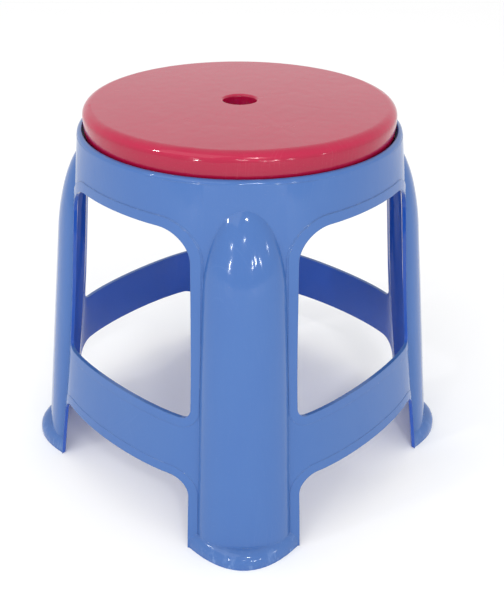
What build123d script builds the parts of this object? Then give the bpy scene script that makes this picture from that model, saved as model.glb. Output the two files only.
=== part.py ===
from build123d import *
import math
import os

os.makedirs("parts", exist_ok=True)

# Round stool moulded in two colours: a light base (ring, four splayed legs and
# four cross bands in one piece) and a red seat cap that snaps into its rim.
# Millimetres, +Z up, origin on the floor under the seat centre.
# One leg points along each of +X, -X, +Y and -Y.

# ---- driving dimensions ------------------------------------------------------
TOTAL_HEIGHT = 370.5        # floor to the top of the seat
SEAT_RADIUS = 145.0         # widest radius of the seat cap
RIM_RADIUS = 151.0          # outside of the ring at its rim
RIM_HEIGHT = 349.5          # floor to the rim of the ring
WALL = 2.8                  # general moulded wall of the base
RIM_WALL = 4.6              # thicker wall around the seat, from the ledge up
RIM_OUTER_ROUND = 3.6
RIM_TRIM_SIDE = 0.24        # the rounding meets the ring's lean this far out
RIM_TRIM = 6.0              # how far the trim that rounds the rim reaches past it
RIM_INNER_ROUND = 0.8
LEDGE_TOP = 332.0           # ledge the seat cap rests on
LEDGE_THICKNESS = 3.0
FINGER_HOLE_RADIUS = 15.5

# Outline of the base at each height: how far the flat leg faces and their crowned
# middle stand from the axis, half the width of a leg face between its border
# lines, and how far the panels between the legs stand out on the diagonals.
FLOOR = dict(z=0.0, face=189.3, crown=189.6, half=41.5, panel=190.0)
BAND_FOOT = dict(z=73.0, face=179.0, crown=179.3, half=39.7, panel=176.0)
BAND_HEAD = dict(z=132.0, face=171.0, crown=171.4, half=38.1, panel=164.5)
KNEE = dict(z=205.0, face=162.6, crown=163.2, half=36.2, panel=158.6)
ARCH = dict(z=300.0, face=153.3, crown=154.2, half=33.6, panel=153.6)
RIM = dict(z=RIM_HEIGHT, face=147.35, crown=RIM_RADIUS, half=33.0, panel=RIM_RADIUS)
STATIONS = [FLOOR, BAND_FOOT, BAND_HEAD, KNEE, ARCH, RIM]
LEG_WIDTH_FLOOR = 102.0     # full width of a leg with its borders

# windows above the bands and openings under them, drawn on the diagonals
WINDOW_FOOT = 132.0
WINDOW_HEAD = 306.5
WINDOW_FOOT_HALF = 86.4
WINDOW_HEAD_HALF = 76.0
WINDOW_FOOT_CORNER = 9.0
WINDOW_HEAD_CORNER = 30.0
ARCHWAY_HEAD = 73.0
ARCHWAY_FLOOR_HALF = 96.6
ARCHWAY_HEAD_HALF = 90.6
ARCHWAY_CORNER = 20.0
CUT_NEAR = 100.0            # the cutting prisms start this far from the axis
CUT_FAR = 245.0
CUT_BELOW = 6.0             # and reach this far below the floor

# raised borders
BORDER_ACROSS = 7.1         # border width beside an opening, along the cut
BORDER_UP = 9.0             # border width above a window and under a band
BORDER_STEP = 0.8           # how far the border stands proud of the ring and legs
BAND_STEP = 0.4             # how far the middle of a band stands proud

# half-round column up the middle of each leg, with a rounded nose at the top
COLUMN_FOOT_HALF = 44.2     # half width of the column at the floor
COLUMN_NOSE_HALF = 36.4     # and where the nose begins
COLUMN_FOOT_CREST = 208.6   # distance of the crest from the axis at the floor
COLUMN_NOSE_CREST = 178.3
COLUMN_ROOT = 6.0           # the column is widest this deep behind the leg face
COLUMN_BELOW = 2.0          # it starts this far below the floor, trimmed later
NOSE_START = 245.0
NOSE_TIP = 331.0            # the nose dips into the ring a little below its tip

# rounded toe around the bottom of each leg
TOE_HEIGHT = 16.0
TOE_REACH = 218.2
TOE_CREASE = 205.0
TOE_CREASE_HALF = 41.0
TOE_END_INSET = 0.8         # the toe stops this far inside the leg's cut edges
TOE_ROOT = 2.0
TOE_STRAIGHT = 4.0
TOE_WALL = 3.2
TOE_ANGLES = (0, 18, 36, 54, 72, 90)

# seat cap
CAP_WALL = 2.8
CAP_FOOT_RADIUS = 143.8
CAP_WIDEST_HEIGHT = 360.0
CAP_SHOULDER = 8.5
HOLE_ROUND = 2.4
COLLAR_DEPTH = 14.0
COLLAR_WALL = 2.4
RIB_COUNT = 8
RIB_THICKNESS = 2.0
CAP_RIB_DEPTH = 12.0
CAP_RIB_REACH = 141.0

# spokes under the ledge and the snap hooks that hold the cap down
LEDGE_INNER_RADIUS = 116.0
HUB_OUTER = 34.0
HUB_INNER = 28.0
SPOKE_WIDTH = 16.0
SPOKE_RIB_DEPTH = 14.0
SPOKE_RIB_THICKNESS = 3.0
HOOK_RADIUS = 128.0
HOOK_WIDTH = 14.0
HOOK_THICKNESS = 3.0
HOOK_SLOT_CLEARANCE = 0.5
HOOK_BARB = 2.0
HOOK_BARB_HEIGHT = 5.0
HOOK_BARB_GAP = 0.4
HOOK_TIP = 1.0


def panel_curve(face, half, middle, slope, turn):
    """Quarter panel between two leg faces, leaving each at slope (radians)."""
    spread = math.cos(slope) - math.sin(slope)
    reach = (8 * middle - 4 * face - 4 * half) / (3 * spread)
    drop = reach * math.sin(slope)
    run = reach * math.cos(slope)
    points = [(face, half), (face - drop, half + run), (half + run, face - drop), (half, face)]
    return [Vector(x, y).rotate(Axis.Z, turn) for x, y in points]


def outline(station, proud):
    """Closed outline of the base at one height, grown outwards by proud."""
    face = station["face"] + proud
    half = station["half"]
    crown = station["crown"] + proud
    middle = (station["panel"] + proud) / math.sqrt(2)
    slope = 2 * math.atan((crown - face) / half)
    with BuildSketch(Plane.XY.offset(station["z"])) as sketch:
        with BuildLine():
            for turn in (0, 90, 180, 270):
                corners = panel_curve(face, half, middle, slope, turn)
                first = Vector(face, -half).rotate(Axis.Z, turn)
                centre = Vector(crown, 0).rotate(Axis.Z, turn)
                ThreePointArc(first, centre, corners[0])
                if station is RIM:
                    peak = Vector(middle, middle).rotate(Axis.Z, turn)
                    ThreePointArc(corners[0], peak, corners[3])
                else:
                    Bezier(*corners)
        make_face()
    return sketch.sketch


def station_value(height, key):
    """One value of the base outline at any height, between the stations."""
    for low, high in zip(STATIONS, STATIONS[1:]):
        if height <= high["z"]:
            share = (height - low["z"]) / (high["z"] - low["z"])
            return low[key] + share * (high[key] - low[key])
    return RIM[key]


def grown_body(proud):
    """Solid from the floor to the rim, grown outwards by proud."""
    with BuildPart() as body:
        for station in STATIONS:
            add(outline(station, proud))
        loft()
    return body.part


def toe_outline(height, reach, half):
    """Parabola-ended outline of a toe, on the +X leg."""
    face = station_value(height, "face")
    back = face - TOE_ROOT
    with BuildSketch(Plane.XY.offset(height)) as sketch:
        with BuildLine():
            Bezier((face, -half), (2 * reach - face, 0), (face, half))
            Polyline((face, half), (back, half), (back, -half), (face, -half))
        make_face()
    return sketch.sketch


def diagonal_plane(index):
    """Plane facing out along one of the four diagonals, clear of the axis."""
    angle = math.radians(45 + 90 * index)
    outward = (math.cos(angle), math.sin(angle), 0)
    across = (-math.sin(angle), math.cos(angle), 0)
    return Plane(origin=(0, 0, 0), x_dir=across, z_dir=outward).offset(CUT_NEAR)


def window_shape(across, up):
    """Window outline between two legs, grown sideways and up and down."""
    with BuildSketch() as sketch:
        with BuildLine():
            Polyline(
                (-WINDOW_FOOT_HALF - across, WINDOW_FOOT - up),
                (WINDOW_FOOT_HALF + across, WINDOW_FOOT - up),
                (WINDOW_HEAD_HALF + across, WINDOW_HEAD + up),
                (-WINDOW_HEAD_HALF - across, WINDOW_HEAD + up),
                close=True,
            )
        make_face()
        fillet(sketch.vertices().group_by(Axis.Y)[0], WINDOW_FOOT_CORNER + across)
        fillet(sketch.vertices().group_by(Axis.Y)[-1], WINDOW_HEAD_CORNER + across)
    return sketch.sketch


def archway_shape(across, up):
    """Outline of the opening under a band, grown sideways and upwards."""
    lean = (ARCHWAY_FLOOR_HALF - ARCHWAY_HEAD_HALF) / ARCHWAY_HEAD
    below = ARCHWAY_FLOOR_HALF + lean * CUT_BELOW + across
    above = ARCHWAY_HEAD_HALF - lean * up + across
    with BuildSketch() as sketch:
        with BuildLine():
            Polyline(
                (-below, -CUT_BELOW),
                (below, -CUT_BELOW),
                (above, ARCHWAY_HEAD + up),
                (-above, ARCHWAY_HEAD + up),
                close=True,
            )
        make_face()
        fillet(sketch.vertices().group_by(Axis.Y)[-1], ARCHWAY_CORNER + across)
    return sketch.sketch


def bay_shape(across, up):
    """Window, band and opening under it as one outline, grown by the margins."""
    lean = (ARCHWAY_FLOOR_HALF - WINDOW_HEAD_HALF) / WINDOW_HEAD
    below = ARCHWAY_FLOOR_HALF + lean * CUT_BELOW + across
    with BuildSketch() as sketch:
        with BuildLine():
            Polyline(
                (-below, -CUT_BELOW),
                (below, -CUT_BELOW),
                (WINDOW_HEAD_HALF + across, WINDOW_HEAD + up),
                (-WINDOW_HEAD_HALF - across, WINDOW_HEAD + up),
                close=True,
            )
        make_face()
        fillet(sketch.vertices().group_by(Axis.Y)[-1], WINDOW_HEAD_CORNER + across)
    return sketch.sketch


def bay_prisms(*shapes):
    """The given outlines pushed outwards through all four sides."""
    with BuildPart() as prisms:
        for index in range(4):
            plane = diagonal_plane(index)
            for shape in shapes:
                with BuildSketch(plane):
                    add(shape)
                extrude(amount=CUT_FAR - CUT_NEAR)
    return prisms.part


def column_size(height, inset):
    """Middle, depth and half width of the column's ellipse at a height."""
    share = height / NOSE_START
    half = COLUMN_FOOT_HALF + share * (COLUMN_NOSE_HALF - COLUMN_FOOT_HALF) - inset
    crest = COLUMN_FOOT_CREST + share * (COLUMN_NOSE_CREST - COLUMN_FOOT_CREST) - inset
    middle = station_value(height, "face") - COLUMN_ROOT
    return middle, crest - middle, half


def leg_column(inset):
    """Column of the +X leg with its nose, shrunk by inset."""
    with BuildPart() as shaft:
        for height in (-COLUMN_BELOW, NOSE_START):
            middle, depth, half = column_size(height, inset)
            with BuildSketch(Plane.XY.offset(height)):
                with Locations((middle, 0)):
                    Ellipse(depth, half)
        loft(ruled=True)
    span = NOSE_TIP - NOSE_START - inset
    lean = (COLUMN_NOSE_CREST - COLUMN_FOOT_CREST) / NOSE_START
    stretch = Matrix([[depth, 0, lean * span, middle], [0, half, 0, 0], [0, 0, span, NOSE_START]])
    dome = Sphere(1) & Pos(0, 0, 1) * Box(4, 4, 2)
    return shaft.part + dome.transform_geometry(stretch)


def leg_toe(inset):
    """Rounded toe of the +X leg, shrunk by inset."""
    rise = TOE_HEIGHT - TOE_STRAIGHT
    swell = TOE_REACH - TOE_CREASE
    foot_half = LEG_WIDTH_FLOOR / 2 - TOE_END_INSET
    with BuildPart() as toe:
        for level in (-COLUMN_BELOW, TOE_STRAIGHT):
            add(toe_outline(level, TOE_REACH - inset, foot_half - inset))
        loft()
        for angle in TOE_ANGLES:
            turn = math.radians(angle)
            level = TOE_STRAIGHT + (rise - inset) * math.sin(turn)
            half = TOE_CREASE_HALF + (foot_half - TOE_CREASE_HALF) * math.cos(turn)
            reach = TOE_CREASE + swell * math.cos(turn)
            add(toe_outline(level, reach - inset, half - inset))
        loft()
    return toe.part


def around(solid):
    """The same solid on each of the four legs."""
    return [Rot(0, 0, 90 * index) * solid for index in range(4)]


# ---- base --------------------------------------------------------------------
plain_leg = leg_column(0)
hollow_leg = leg_column(WALL)
plain_toe = leg_toe(0)
hollow_toe = leg_toe(TOE_WALL)
band_zone = bay_prisms(bay_shape(BORDER_ACROSS + BAND_STEP, BORDER_UP + BAND_STEP))
band_swell = grown_body(BAND_STEP) & band_zone
lip_zone = bay_prisms(
    window_shape(BORDER_ACROSS, BORDER_UP),
    archway_shape(BORDER_ACROSS, BORDER_UP - BAND_STEP),
)
lip_swell = grown_body(BORDER_STEP) & lip_zone
openings = bay_prisms(window_shape(0, 0), archway_shape(0, 0))

with BuildPart() as cavity:
    for station in STATIONS:
        add(outline(station, -WALL))
    loft()
    for solid in around(hollow_leg):
        add(solid)
    for solid in around(hollow_toe):
        add(solid)

with BuildPart() as shell:
    for station in STATIONS:
        add(outline(station, 0))
    loft()
    for solid in around(plain_leg):
        add(solid)
    for solid in around(plain_toe):
        add(solid)
    add(band_swell)
    add(lip_swell)
    add(cavity.part, mode=Mode.SUBTRACT)
    add(openings, mode=Mode.SUBTRACT)
    split(bisect_by=Plane.XY, keep=Keep.TOP)

# rim wall, ledge, hub and spokes inside the ring
with BuildPart() as ledge:
    with BuildSketch(Plane.XY.offset(LEDGE_TOP - LEDGE_THICKNESS)):
        Circle(RIM_RADIUS - WALL / 2)
        Circle(RIM_RADIUS - RIM_WALL, mode=Mode.SUBTRACT)
    extrude(amount=RIM_HEIGHT - LEDGE_TOP + LEDGE_THICKNESS)
    with BuildSketch(Plane.XY.offset(LEDGE_TOP)):
        Circle(RIM_RADIUS - WALL / 2)
        Circle(LEDGE_INNER_RADIUS, mode=Mode.SUBTRACT)
        with PolarLocations(0, 4):
            with Locations((HUB_INNER / 2 + LEDGE_INNER_RADIUS / 2 + WALL, 0)):
                Rectangle(LEDGE_INNER_RADIUS - HUB_INNER, SPOKE_WIDTH)
        Circle(HUB_OUTER)
        Circle(HUB_INNER, mode=Mode.SUBTRACT)
    extrude(amount=-LEDGE_THICKNESS)
    with BuildSketch(Plane.XY.offset(LEDGE_TOP)):
        with PolarLocations(0, 4):
            with Locations((HUB_INNER / 2 + RIM_RADIUS / 2, 0)):
                Rectangle(RIM_RADIUS - HUB_INNER - WALL, SPOKE_RIB_THICKNESS)
        Circle(HUB_INNER + SPOKE_RIB_THICKNESS)
        Circle(HUB_INNER, mode=Mode.SUBTRACT)
        Circle(LEDGE_INNER_RADIUS + SPOKE_RIB_THICKNESS)
        Circle(LEDGE_INNER_RADIUS, mode=Mode.SUBTRACT)
    extrude(amount=-SPOKE_RIB_DEPTH)
    # slots the snap hooks pass through
    with BuildSketch(Plane.XY.offset(LEDGE_TOP)):
        with PolarLocations(HOOK_RADIUS, 4, start_angle=45):
            Rectangle(HOOK_THICKNESS + 2 * HOOK_SLOT_CLEARANCE, HOOK_WIDTH + 2 * HOOK_SLOT_CLEARANCE)
    extrude(amount=-LEDGE_THICKNESS, mode=Mode.SUBTRACT)

# trim that rounds the outside of the rim
with BuildPart() as rim_trim:
    with BuildSketch(Plane.XZ):
        with BuildLine():
            crest = (RIM_RADIUS - RIM_OUTER_ROUND, RIM_HEIGHT)
            shoulder = (RIM_RADIUS + RIM_TRIM_SIDE, RIM_HEIGHT - RIM_OUTER_ROUND)
            RadiusArc(crest, shoulder, RIM_OUTER_ROUND + RIM_TRIM_SIDE)
            Polyline(
                shoulder,
                (RIM_RADIUS + RIM_TRIM, RIM_HEIGHT - RIM_OUTER_ROUND),
                (RIM_RADIUS + RIM_TRIM, RIM_HEIGHT + RIM_TRIM),
                (RIM_RADIUS - RIM_OUTER_ROUND, RIM_HEIGHT + RIM_TRIM),
                crest,
            )
        make_face()
    revolve(axis=Axis.Z)

with BuildPart() as base_frame:
    add(shell.part)
    add(ledge.part)
    add(rim_trim.part, mode=Mode.SUBTRACT)
    rim_edges = base_frame.edges().group_by(Axis.Z)[-1]
    fillet(rim_edges.sort_by_distance((0, 0, RIM_HEIGHT))[0], RIM_INNER_ROUND)
base_frame.part.label = "base_frame"
export_step(base_frame.part, "parts/base_frame.step")

# ---- seat cap ----------------------------------------------------------------
with BuildPart() as seat_cap:
    with BuildSketch(Plane.XZ) as cap_half:
        with BuildLine():
            rise = Line((0, LEDGE_TOP), (CAP_FOOT_RADIUS, LEDGE_TOP))
            flank = Line(rise @ 1, (SEAT_RADIUS, CAP_WIDEST_HEIGHT))
            edge = Line(flank @ 1, (SEAT_RADIUS, TOTAL_HEIGHT))
            top = Line(edge @ 1, (0, TOTAL_HEIGHT))
            Line(top @ 1, (0, LEDGE_TOP))
        make_face()
        fillet(cap_half.vertices().group_by(Axis.Y)[-1].sort_by(Axis.X)[-1], CAP_SHOULDER)
    revolve(axis=Axis.Z)
    # hollow underside
    with BuildSketch(Plane.XZ) as hollow_half:
        with BuildLine():
            inner_rise = Line((0, LEDGE_TOP), (CAP_FOOT_RADIUS - CAP_WALL, LEDGE_TOP))
            inner_flank = Line(inner_rise @ 1, (SEAT_RADIUS - CAP_WALL, CAP_WIDEST_HEIGHT))
            inner_edge = Line(inner_flank @ 1, (SEAT_RADIUS - CAP_WALL, TOTAL_HEIGHT - CAP_WALL))
            inner_top = Line(inner_edge @ 1, (0, TOTAL_HEIGHT - CAP_WALL))
            Line(inner_top @ 1, (0, LEDGE_TOP))
        make_face()
        fillet(
            hollow_half.vertices().group_by(Axis.Y)[-1].sort_by(Axis.X)[-1],
            CAP_SHOULDER - CAP_WALL,
        )
    revolve(axis=Axis.Z, mode=Mode.SUBTRACT)
    # collar of the finger hole, radial ribs and a ring rib
    collar_outer = FINGER_HOLE_RADIUS + COLLAR_WALL
    ring_rib = (collar_outer + CAP_RIB_REACH) / 2
    with BuildSketch(Plane.XY.offset(TOTAL_HEIGHT - CAP_WALL / 2)):
        Circle(collar_outer)
    extrude(amount=-(COLLAR_DEPTH - CAP_WALL / 2))
    with BuildSketch(Plane.XY.offset(TOTAL_HEIGHT - CAP_WALL * 0.7)):
        Circle(ring_rib + RIB_THICKNESS / 2)
        Circle(ring_rib - RIB_THICKNESS / 2, mode=Mode.SUBTRACT)
        with PolarLocations(0, RIB_COUNT, start_angle=180 / RIB_COUNT):
            with Locations((ring_rib, 0)):
                Rectangle(CAP_RIB_REACH - collar_outer, RIB_THICKNESS)
    extrude(amount=-(CAP_RIB_DEPTH - CAP_WALL / 2))
    with Locations((0, 0, TOTAL_HEIGHT)):
        Cylinder(
            FINGER_HOLE_RADIUS,
            COLLAR_DEPTH + CAP_WALL,
            align=(Align.CENTER, Align.CENTER, Align.MAX),
            mode=Mode.SUBTRACT,
        )
    fillet(
        seat_cap.edges().filter_by(GeomType.CIRCLE).group_by(Axis.Z)[-1].sort_by(SortBy.LENGTH)[0],
        HOLE_ROUND,
    )
    # snap hooks that reach through the ledge and catch under it
    barb_top = LEDGE_TOP - LEDGE_THICKNESS - HOOK_BARB_GAP
    barb_foot = barb_top - HOOK_BARB_HEIGHT
    shank_outer = HOOK_RADIUS + HOOK_THICKNESS / 2
    for index in range(4):
        turn = 45 + 90 * index
        hook_plane = Plane.XZ.rotated((0, 0, turn)).offset(-HOOK_WIDTH / 2)
        with BuildSketch(hook_plane):
            with BuildLine():
                Polyline(
                    (HOOK_RADIUS - HOOK_THICKNESS / 2, TOTAL_HEIGHT - CAP_WALL / 2),
                    (shank_outer, TOTAL_HEIGHT - CAP_WALL / 2),
                    (shank_outer, barb_top),
                    (shank_outer + HOOK_BARB, barb_top),
                    (shank_outer + HOOK_BARB, barb_top - HOOK_TIP),
                    (shank_outer - HOOK_TIP, barb_foot),
                    (HOOK_RADIUS - HOOK_THICKNESS / 2, barb_foot),
                    close=True,
                )
            make_face()
        extrude(amount=HOOK_WIDTH)
seat_cap.part.label = "seat_cap"
export_step(seat_cap.part, "parts/seat_cap.step")
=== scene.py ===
import bpy
import math
from mathutils import Matrix, Vector


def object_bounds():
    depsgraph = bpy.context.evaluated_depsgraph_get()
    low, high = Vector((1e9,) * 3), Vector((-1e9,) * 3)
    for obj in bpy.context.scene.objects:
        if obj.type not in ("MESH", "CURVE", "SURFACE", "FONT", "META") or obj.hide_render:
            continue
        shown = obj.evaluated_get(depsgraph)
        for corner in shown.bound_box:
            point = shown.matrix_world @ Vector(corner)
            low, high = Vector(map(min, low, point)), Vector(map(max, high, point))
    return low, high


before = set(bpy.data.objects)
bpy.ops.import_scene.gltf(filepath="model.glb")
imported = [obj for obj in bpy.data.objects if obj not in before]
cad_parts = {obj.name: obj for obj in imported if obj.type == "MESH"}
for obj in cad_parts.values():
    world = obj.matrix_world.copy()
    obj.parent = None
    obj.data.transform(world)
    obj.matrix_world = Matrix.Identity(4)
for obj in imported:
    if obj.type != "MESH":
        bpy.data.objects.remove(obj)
cad_low, cad_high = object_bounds()
scene = bpy.context.scene

# ---- colours, linear RGB -----------------------------------------------------
BASE_COLOURS = dict(
    body=(0.0475, 0.127, 0.350),
    deep=(0.022, 0.080, 0.310),     # pigment clouds, and painted shade in creases and on the seat's side
    pale_and_highlight=(0.170, 0.280, 0.520),     # rubbed and scratched plastic, and painted highlight along edges
    inner_shade=(0.018, 0.090, 0.455),    # painted shade on walls that face the axis
)
# seat colours: inner is painted shade on walls that face the axis, and deep also serves as painted shade
SEAT_COLOURS = dict(
    body=(0.395, 0.0030, 0.043),
    deep=(0.240, 0.004, 0.026),
    pale_and_highlight=(0.560, 0.110, 0.170),
    inner_shade=(0.430, 0.003, 0.030),
)
DUST_GREY = (0.34, 0.33, 0.31)
PLASTIC_IOR = 1.46

# ---- sizes on the plastic, metres --------------------------------------------
EDGE_ROUND = 0.0007                 # rounding shaded onto every moulded edge
CREASE_SHADE_REACH = 0.007                # how far a neighbouring wall reaches for the painted shade in creases
INNER_SHADE_START, INNER_SHADE_FULL = -0.02, -0.08  # painted shade on inner walls: how squarely a wall faces the axis
FOOT_SCUFF_HEIGHT = 0.022           # floor scuffs fade out this high up the toes
SEAT_TOP_HEIGHT = cad_high[2] - 0.001
SEAT_TOP_FADE = 0.001
RIB_COUNT = 8                       # ribs under the seat, seen as faint sink lines
RIB_RING = 0.0795                   # radius of the ring rib under the seat
SINK_WIDTH = 0.0035
SINK_DEPTH = 0.00002
WAVE_HEIGHT = 0.00015               # slow waviness that bends the reflections
RIPPLE_HEIGHT = 0.00004
PEEL_HEIGHT = 0.0000016             # orange peel
SCRATCH_DEPTH = 0.000002

# ---- patterns, features per metre --------------------------------------------
CLOUD_SCALE = 16.0
STREAK_SCALE = (70.0, 70.0, 6.0)    # flow streaks run upright
RUB_SCALE = 120.0
SMEAR_SCALE = (160.0, 160.0, 60.0)
SMEAR_TURN = 0.4
SPECK_SCALE = 900.0
DUST_SCALE = 30.0
GLOSS_SCALE = 28.0
GLOSS_FINE_SCALE = 240.0
WAVE_SCALE = 95.0
RIPPLE_SCALE = 260.0
PEEL_SCALE = 1500.0
UPRIGHT = (1.0, 1.0, 0.35)          # waviness is drawn out along the legs
SCRATCH_LENGTH = 6.0
SCRATCH_SETS = (                    # turn, lines across and patches, per set
    ((0.0, 0.0, 0.5), 900.0, 14.0),
    ((0.0, 0.0, 2.1), 700.0, 19.0),
    ((1.1, 0.5, 1.3), 800.0, 24.0),
)
SEAT_SCRATCHES = 0.8                # how strongly the scratches show
BASE_SCRATCHES = 0.3

# ---- how much each layer adds ------------------------------------------------
CLOUD_TINT, STREAK_TINT = 0.07, 0.05
SEAT_SIDE_SHADE = 0.42               # painted shade: the seat's side is darker than its top
# painted shade in creases
CREASE_SHADE_TINT = 0.55
# the first of these is a painted highlight along every moulded edge
EDGE_HIGHLIGHT_TINT, RUB_TINT, SCUFF_TINT, SCRATCH_TINT = 0.28, 0.45, 0.40, 0.16
DUST_TINT, SPECK_TINT = 0.035, 0.06
GLOSS_LOW, GLOSS_HIGH = 0.04, 0.11
GLOSS_FINE, GLOSS_SCRATCH, GLOSS_WORN, GLOSS_DUST = 0.04, 0.16, 0.22, 0.10


# ---- small helpers for node materials ----------------------------------------
class Graph:
    """Builds one node material; sockets are passed as outputs or constants."""

    def __init__(self, name):
        self.material = bpy.data.materials.new(name)
        self.material.use_nodes = True
        self.tree = self.material.node_tree
        self.tree.nodes.clear()

    def connect(self, socket, value):
        if isinstance(value, bpy.types.NodeSocket):
            self.tree.links.new(value, socket)
        else:
            socket.default_value = value

    def node(self, kind, inputs, **settings):
        made = self.tree.nodes.new(kind)
        for key, value in settings.items():
            setattr(made, key, value)
        for key, value in inputs.items():
            self.connect(made.inputs[key], value)
        return made

    def calc(self, operation, a, b=0.0):
        return self.node("ShaderNodeMath", {0: a, 1: b}, operation=operation).outputs[0]

    def add(self, *values):
        total = values[0]
        for value in values[1:]:
            total = self.calc("ADD", total, value)
        return total

    def times(self, *values):
        total = values[0]
        for value in values[1:]:
            total = self.calc("MULTIPLY", total, value)
        return total

    def dot(self, a, b):
        return self.node("ShaderNodeVectorMath", {0: a, 1: b}, operation="DOT_PRODUCT").outputs["Value"]

    def axes(self, vector):
        return self.node("ShaderNodeSeparateXYZ", {"Vector": vector}).outputs

    def noise(self, vector, scale, detail=2.0, roughness=0.5):
        inputs = {"Vector": vector, "Scale": scale, "Detail": detail, "Roughness": roughness}
        return self.node("ShaderNodeTexNoise", inputs).outputs[0]

    def ramp(self, value, low, high, to_low=0.0, to_high=1.0):
        inputs = {"Value": value, "From Min": low, "From Max": high, "To Min": to_low, "To Max": to_high}
        return self.node("ShaderNodeMapRange", inputs, interpolation_type="SMOOTHSTEP").outputs[0]

    def turned(self, vector, turn):
        return self.node("ShaderNodeMapping", {"Vector": vector, "Rotation": turn}).outputs[0]

    def scaled(self, vector, scale):
        return self.node("ShaderNodeMapping", {"Vector": vector, "Scale": scale}).outputs[0]

    def mix(self, share, a, b):
        """Colour mix: sockets 0, 6 and 7 are the share and the two colours."""
        made = self.node("ShaderNodeMix", {}, data_type="RGBA")
        for index, value in ((0, share), (6, a), (7, b)):
            self.connect(made.inputs[index], value)
        return made.outputs[2]

    def finish(self, shader):
        self.node("ShaderNodeOutputMaterial", {"Surface": shader.outputs[0]})
        return self.material


def scratches(g, place, strength):
    """Mask of fine straight scratches that come and go in patches."""
    masks = []
    for turn, across, patches in SCRATCH_SETS:
        along = g.scaled(g.turned(place, turn), (SCRATCH_LENGTH, across, SCRATCH_LENGTH))
        wave = g.calc("ABSOLUTE", g.calc("SUBTRACT", g.noise(along, 1.0), 0.5))
        line = g.ramp(wave, 0.014, 0.002)
        masks.append(g.times(line, g.ramp(g.noise(place, patches, detail=1.0), 0.54, 0.70)))
    strongest = g.calc("MAXIMUM", g.calc("MAXIMUM", masks[0], masks[1]), masks[2])
    return g.times(strongest, strength)


def rib_sink(g, place):
    """Mask of the faint sink lines over the ribs under the seat."""
    x, y, z = g.axes(place)
    radius = g.calc("SQRT", g.add(g.times(x, x), g.times(y, y)))
    step = 2 * math.pi / RIB_COUNT
    offset = g.calc("SUBTRACT", g.calc("FLOORED_MODULO", g.calc("ARCTAN2", y, x), step), step / 2)
    spoke = g.ramp(g.calc("ABSOLUTE", g.times(offset, radius)), SINK_WIDTH, 0.0)
    ring = g.ramp(g.calc("ABSOLUTE", g.calc("SUBTRACT", radius, RIB_RING)), SINK_WIDTH, 0.0)
    on_top = g.ramp(z, SEAT_TOP_HEIGHT - SEAT_TOP_FADE, SEAT_TOP_HEIGHT)
    return g.times(g.calc("MAXIMUM", spoke, ring), on_top)


def pigment_and_shade(g, place, geometry, colours, on_seat):
    """Body colour with clouds and flow streaks, painted shade on walls that face the axis and, on the
    seat, painted shade on its side.
    """
    # painted shade: walls that face the axis take the darker inner colour
    inward = g.dot(geometry["Normal"], g.scaled(place, (1.0, 1.0, 0.0)))
    body = g.mix(g.ramp(inward, INNER_SHADE_START, INNER_SHADE_FULL), colours["body"], colours["inner_shade"])
    clouds = g.ramp(g.noise(place, CLOUD_SCALE, detail=4.0), 0.30, 0.70)
    streaks = g.ramp(g.noise(g.scaled(place, STREAK_SCALE), 1.0, detail=3.0), 0.30, 0.72)
    tint = g.add(g.times(clouds, CLOUD_TINT), g.times(streaks, STREAK_TINT))
    base = g.mix(tint, body, colours["deep"])
    if on_seat:
        # painted shade: the seat's side darkens towards the deep colour
        upward = g.axes(geometry["Normal"])[2]
        base = g.mix(g.ramp(upward, 0.60, 0.05, 0.0, SEAT_SIDE_SHADE), base, colours["deep"])
    return base


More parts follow.
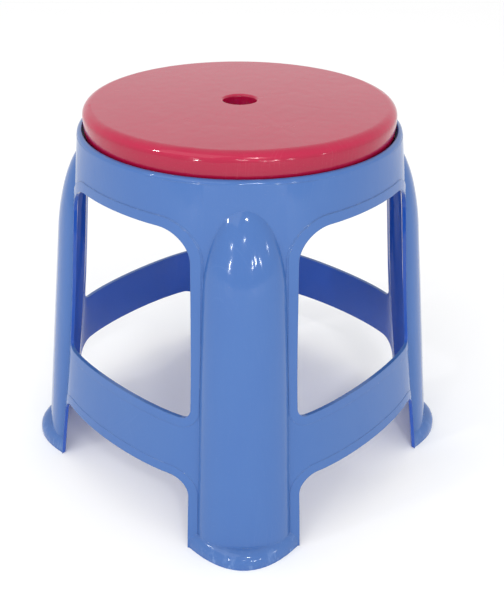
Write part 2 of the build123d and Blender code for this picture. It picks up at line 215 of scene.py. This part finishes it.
def plastic(name, colours, on_seat):
    """Glossy moulded plastic with clouding, scuffs and scratches, painted shade in creases, on inner
    walls and on the seat's side, and a painted highlight along edges.
    """
    g = Graph(name)
    colours = {key: (*colour, 1) for key, colour in colours.items()}
    place = g.node("ShaderNodeTexCoord", {}).outputs["Object"]
    geometry = g.node("ShaderNodeNewGeometry", {}).outputs

    # masks: edges, painted crease shade, wear, dust and scratches
    rounded = g.node("ShaderNodeBevel", {"Radius": EDGE_ROUND}, samples=4).outputs[0]
    edge = g.ramp(g.dot(rounded, geometry["True Normal"]), 0.96, 0.80)
    openness = g.node("ShaderNodeAmbientOcclusion", {"Distance": CREASE_SHADE_REACH}, samples=4)
    crease_shade = g.ramp(openness.outputs["AO"], 0.80, 0.45)
    rub = g.times(edge, g.ramp(g.noise(place, RUB_SCALE, detail=4.0), 0.46, 0.66))
    smeared = g.scaled(g.turned(place, (0.0, 0.0, SMEAR_TURN)), SMEAR_SCALE)
    smear = g.ramp(g.noise(smeared, 1.0, detail=4.0, roughness=0.65), 0.50, 0.68)
    scuff = g.times(g.ramp(g.axes(place)[2], FOOT_SCUFF_HEIGHT, 0.0), smear)
    specks = g.ramp(g.noise(place, SPECK_SCALE, detail=1.0), 0.70, 0.76)
    settled = g.ramp(g.axes(geometry["Normal"])[2], 0.55, 0.95)
    dust = g.times(settled, g.ramp(g.noise(place, DUST_SCALE, detail=4.0), 0.42, 0.75))
    scratched = scratches(g, place, SEAT_SCRATCHES if on_seat else BASE_SCRATCHES)

    # colour
    base = pigment_and_shade(g, place, geometry, colours, on_seat)
    # painted shade: creases darken towards the deep colour
    base = g.mix(g.times(crease_shade, CREASE_SHADE_TINT), base, colours["deep"])
    # painted highlight: every moulded edge lightens towards the pale colour
    base = g.mix(g.times(edge, EDGE_HIGHLIGHT_TINT), base, colours["pale_and_highlight"])
    base = g.mix(g.times(rub, RUB_TINT), base, colours["pale_and_highlight"])
    base = g.mix(g.times(scuff, SCUFF_TINT), base, colours["pale_and_highlight"])
    dirt = g.add(g.times(dust, DUST_TINT), g.times(specks, SPECK_TINT))
    base = g.mix(dirt, base, (*DUST_GREY, 1))
    base = g.mix(g.times(scratched, SCRATCH_TINT), base, colours["pale_and_highlight"])

    # gloss, duller where scratched, worn or dusty
    roughness = g.add(
        g.ramp(g.noise(place, GLOSS_SCALE, detail=5.0, roughness=0.6), 0.30, 0.70, GLOSS_LOW, GLOSS_HIGH),
        g.times(g.noise(place, GLOSS_FINE_SCALE), GLOSS_FINE),
        g.times(scratched, GLOSS_SCRATCH),
        g.times(g.calc("MAXIMUM", rub, scuff), GLOSS_WORN),
        g.times(dust, GLOSS_DUST),
    )

    # moulded surface: waviness, ripples, orange peel, scratches and sink lines
    drawn_out = g.scaled(place, UPRIGHT)
    height = g.add(
        g.times(g.noise(drawn_out, WAVE_SCALE, detail=1.0), WAVE_HEIGHT),
        g.times(g.noise(drawn_out, RIPPLE_SCALE, detail=1.0), RIPPLE_HEIGHT),
        g.times(g.noise(place, PEEL_SCALE), PEEL_HEIGHT),
        g.times(scratched, -SCRATCH_DEPTH),
    )
    if on_seat:
        height = g.add(height, g.times(rib_sink(g, place), -SINK_DEPTH))
    bump = {"Strength": 1.0, "Distance": 1.0, "Height": height, "Normal": rounded}
    normal = g.node("ShaderNodeBump", bump).outputs[0]
    skin = {"Base Color": base, "Roughness": roughness, "IOR": PLASTIC_IOR, "Normal": normal}
    return g.finish(g.node("ShaderNodeBsdfPrincipled", skin))


def dress(piece, material):
    """Gives a CAD piece its only material."""
    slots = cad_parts[piece].data.materials
    slots.clear()
    slots.append(material)


dress("base_frame", plastic("base_plastic_gloss", BASE_COLOURS, False))
dress("seat_cap", plastic("seat_plastic_gloss", SEAT_COLOURS, True))

# ---- floor -------------------------------------------------------------------
FLOOR_HALF = 30.0
FLOOR_PALE = (0.94, 0.94, 0.94, 1)
FLOOR_ROUGHNESS = 0.9
paper = Graph("floor_paper")
paper_skin = {"Base Color": FLOOR_PALE, "Roughness": FLOOR_ROUGHNESS}
paper.finish(paper.node("ShaderNodeBsdfPrincipled", paper_skin))
corners = [Vector((x, y, 0)) * FLOOR_HALF for x, y in ((-1, -1), (1, -1), (1, 1), (-1, 1))]
floor_mesh = bpy.data.meshes.new("floor")
floor_mesh.from_pydata(corners, [], [(0, 1, 2, 3)])
floor_mesh.materials.append(paper.material)
floor = bpy.data.objects.new("floor", floor_mesh)
scene.collection.objects.link(floor)

# ---- light -------------------------------------------------------------------
WORLD_STRENGTH = 1.01
LIGHT_AIM = Vector((0.0, 0.0, 0.28))
KEY_PLACE = Vector((-1.2, -1.4, 2.2))
KEY_SIZE = (1.8, 1.5)
KEY_RADIANCE = 0.9
PANE_DISTANCE = 2.6
PANES = (                           # azimuth, elevation (degrees), size, radiance
    ("pane_left_low", -118, 3, (0.06, 0.22), 110.0),
    ("pane_left_high", -121, 13, (0.06, 0.09), 90.0),
    ("pane_right_a", -76, 3, (0.035, 0.17), 90.0),
    ("pane_right_b", -68, 5, (0.05, 0.20), 100.0),
    ("pane_right_c", -57, 4, (0.04, 0.18), 90.0),
    ("pane_far_right", -34, 8, (0.05, 0.14), 90.0),
    ("pane_front_high", -80, 38, (0.26, 0.07), 150.0),
    ("pane_side_high", -154, 30, (0.13, 0.09), 160.0),
    ("pane_toe", -90, 19, (0.20, 0.05), 100.0),
)

world = bpy.data.worlds.new("studio")
scene.world = world
world.use_nodes = True
sky = world.node_tree.nodes["Background"]
sky.inputs["Color"].default_value = (1, 1, 1, 1)
sky.inputs["Strength"].default_value = WORLD_STRENGTH


def lamp(name, place, size, radiance):
    """Rectangular light that faces the stool."""
    data = bpy.data.lights.new(name, "AREA")
    data.shape = "RECTANGLE"
    data.size, data.size_y = size
    data.energy = radiance * math.pi * size[0] * size[1]
    made = bpy.data.objects.new(name, data)
    scene.collection.objects.link(made)
    made.location = place
    made.rotation_euler = (LIGHT_AIM - place).to_track_quat("-Z", "Y").to_euler()


lamp("key_light", KEY_PLACE, KEY_SIZE, KEY_RADIANCE)
for name, azimuth, elevation, size, radiance in PANES:
    turn = math.radians(azimuth)
    rise = math.radians(elevation)
    direction = Vector((math.cos(rise) * math.cos(turn), math.cos(rise) * math.sin(turn), math.sin(rise)))
    lamp(name, LIGHT_AIM + direction * PANE_DISTANCE, size, radiance)

# ---- camera ------------------------------------------------------------------
CAMERA_DISTANCE = 0.7877            # from the stool's axis, measured along the floor
CAMERA_HEIGHT = 0.607
CAMERA_TURN = 0.030                 # angles in radians
CAMERA_PITCH = 0.481
CAMERA_ROLL = 0.005
CAMERA_SENSOR = 36.0
CAMERA_LENS = 52.4
CAMERA_SHIFT = (0.0217, -0.0556)
CAMERA_CLIP = (0.02, 50.0)

camera_data = bpy.data.cameras.new("camera")
camera = bpy.data.objects.new("camera", camera_data)
scene.collection.objects.link(camera)
scene.camera = camera
camera.location = (
    -CAMERA_DISTANCE * math.sin(CAMERA_TURN),
    -CAMERA_DISTANCE * math.cos(CAMERA_TURN),
    CAMERA_HEIGHT,
)
camera_aim = (
    Matrix.Rotation(-CAMERA_TURN, 3, "Z")
    @ Matrix.Rotation(math.pi / 2 - CAMERA_PITCH, 3, "X")
    @ Matrix.Rotation(CAMERA_ROLL, 3, "Z")
)
camera.rotation_euler = camera_aim.to_euler()
camera_data.sensor_width = CAMERA_SENSOR
camera_data.lens = CAMERA_LENS
camera_data.shift_x, camera_data.shift_y = CAMERA_SHIFT
camera_data.clip_start, camera_data.clip_end = CAMERA_CLIP
scene.view_settings.view_transform = "Standard"
